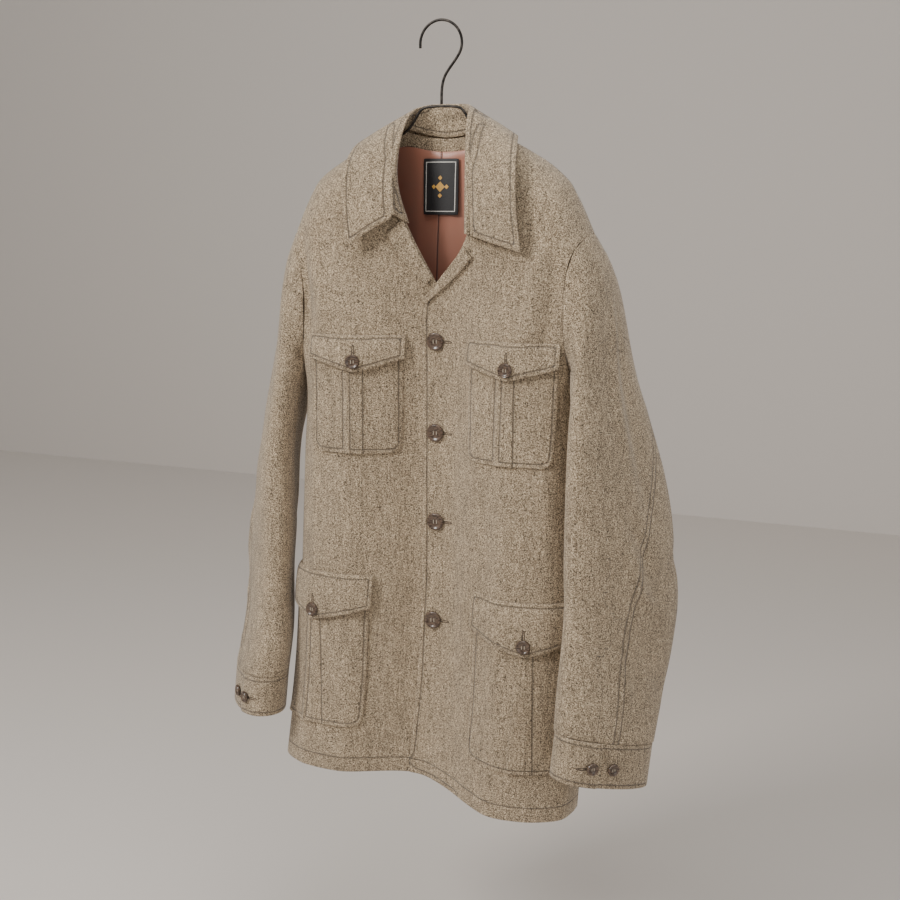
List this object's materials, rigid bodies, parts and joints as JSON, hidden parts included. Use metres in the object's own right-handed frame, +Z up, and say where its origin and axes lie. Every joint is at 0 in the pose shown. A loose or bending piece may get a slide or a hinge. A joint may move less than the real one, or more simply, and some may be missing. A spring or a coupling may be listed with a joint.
{
  "type": "safari jacket on hanger",
  "caption": "Tweed safari jacket with shirt collar, buttoned front, flapped patch pockets and buttoned cuffs, hanging on a thin wire hanger.",
  "frame": {"origin": "inside top of the hanger's hook, where the rail carries it", "axes": "+Z up, -Y out of the front of the jacket, +X to the wearer's left"},
  "size_m": [0.5978, 0.1815, 0.9576],
  "materials": {
    "tweed": "matt woven wool tweed",
    "lining": "satin",
    "label": "woven",
    "button": "polished horn",
    "metal": "dark satin"
  },
  "bodies": {
    "root": {"back": "tweed", "chest_button_left": "button", "chest_button_right": "button", "chest_flap_left": "tweed", "chest_flap_right": "tweed", "chest_pocket_left": "tweed", "chest_pocket_right": "tweed", "collar": "tweed", "cuff_button_left_1": "button", "cuff_button_left_2": "button", "cuff_button_right_1": "button", "cuff_button_right_2": "button", "cuff_left": "tweed", "cuff_right": "tweed", "facing_left": "tweed", "facing_right": "tweed", "front_button_1": "button", "front_button_2": "button", "front_button_3": "button", "front_button_4": "button", "front_left": "tweed", "front_right": "tweed", "hanger_bar": "metal", "hanger_hook": "metal", "hip_button_left": "button", "hip_button_right": "button", "hip_flap_left": "tweed", "hip_flap_right": "tweed", "hip_pocket_left": "tweed", "hip_pocket_right": "tweed", "label": "label", "lining_back": "lining", "under_sleeve_left": "tweed", "under_sleeve_right": "tweed", "upper_sleeve_left": "tweed", "upper_sleeve_right": "tweed"}
  },
  "joints": []
}
